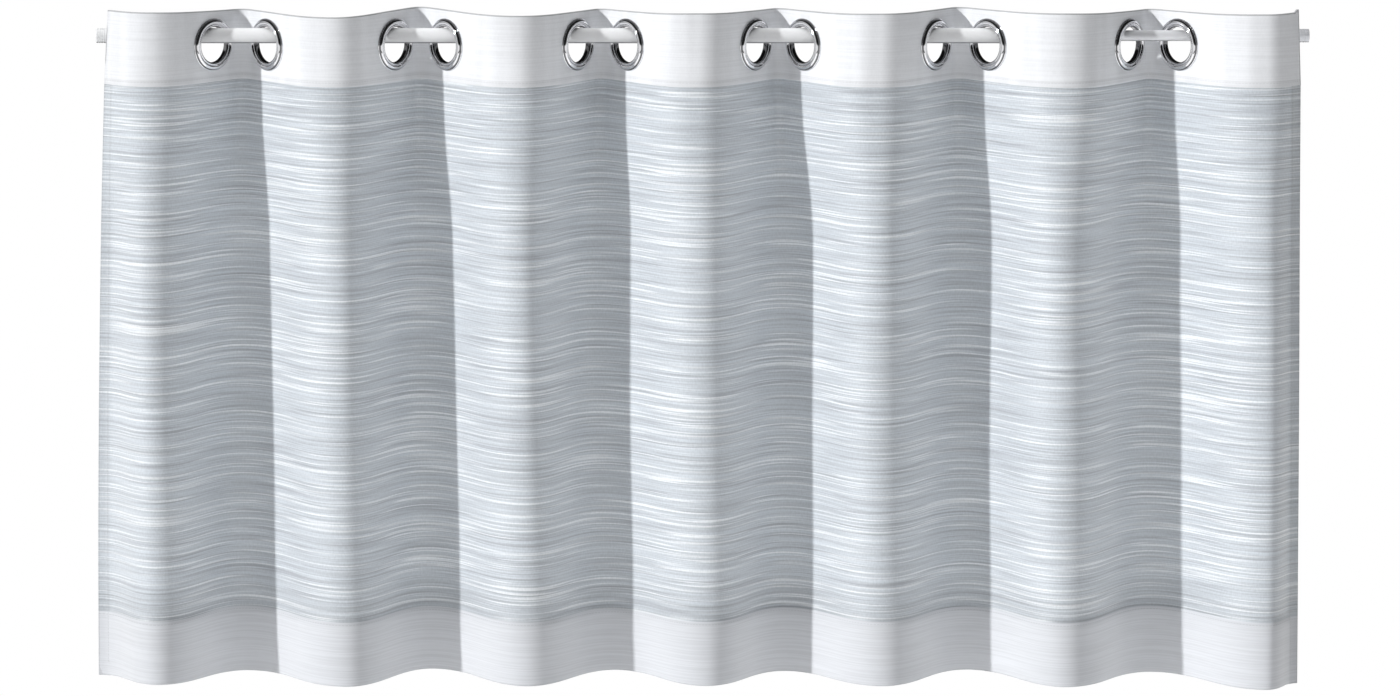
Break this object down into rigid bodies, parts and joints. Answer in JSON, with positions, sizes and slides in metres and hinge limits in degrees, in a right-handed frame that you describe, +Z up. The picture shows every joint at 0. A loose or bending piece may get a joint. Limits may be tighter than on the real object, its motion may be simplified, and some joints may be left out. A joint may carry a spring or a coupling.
{
  "type": "cafe curtain with eyelets on a tension rod",
  "caption": "Short streaked cafe curtain hanging in soft even folds by metal eyelets from a white telescoping tension rod.",
  "frame": {"origin": "centre of the flat end face of the rod's left cap, on the rod's axis", "axes": "+X along the rod towards its right cap, +Z up, -Y towards the viewer and the room"},
  "size_m": [1.0941, 0.0761, 0.6155],
  "materials": {
    "plain_cloth": "plain weave, matt, white",
    "streaked_cloth": "slubbed weave with irregular white and grey horizontal streaks",
    "eyelet_metal": "polished",
    "rod_enamel": "satin white",
    "rod_satin": "semi-gloss white",
    "rod_caps": "matt off-white"
  },
  "bodies": {
    "root": {"heading": "plain_cloth", "panel": "streaked_cloth", "eyelet_01": "eyelet_metal", "eyelet_02": "eyelet_metal", "eyelet_03": "eyelet_metal", "eyelet_04": "eyelet_metal", "eyelet_05": "eyelet_metal", "eyelet_06": "eyelet_metal", "eyelet_07": "eyelet_metal", "eyelet_08": "eyelet_metal", "eyelet_09": "eyelet_metal", "eyelet_10": "eyelet_metal", "eyelet_11": "eyelet_metal", "eyelet_12": "eyelet_metal", "rod_outer_tube": "rod_enamel", "rod_inner_tube": "rod_satin", "rod_cap_left": "rod_caps", "rod_cap_right": "rod_caps"}
  },
  "joints": []
}
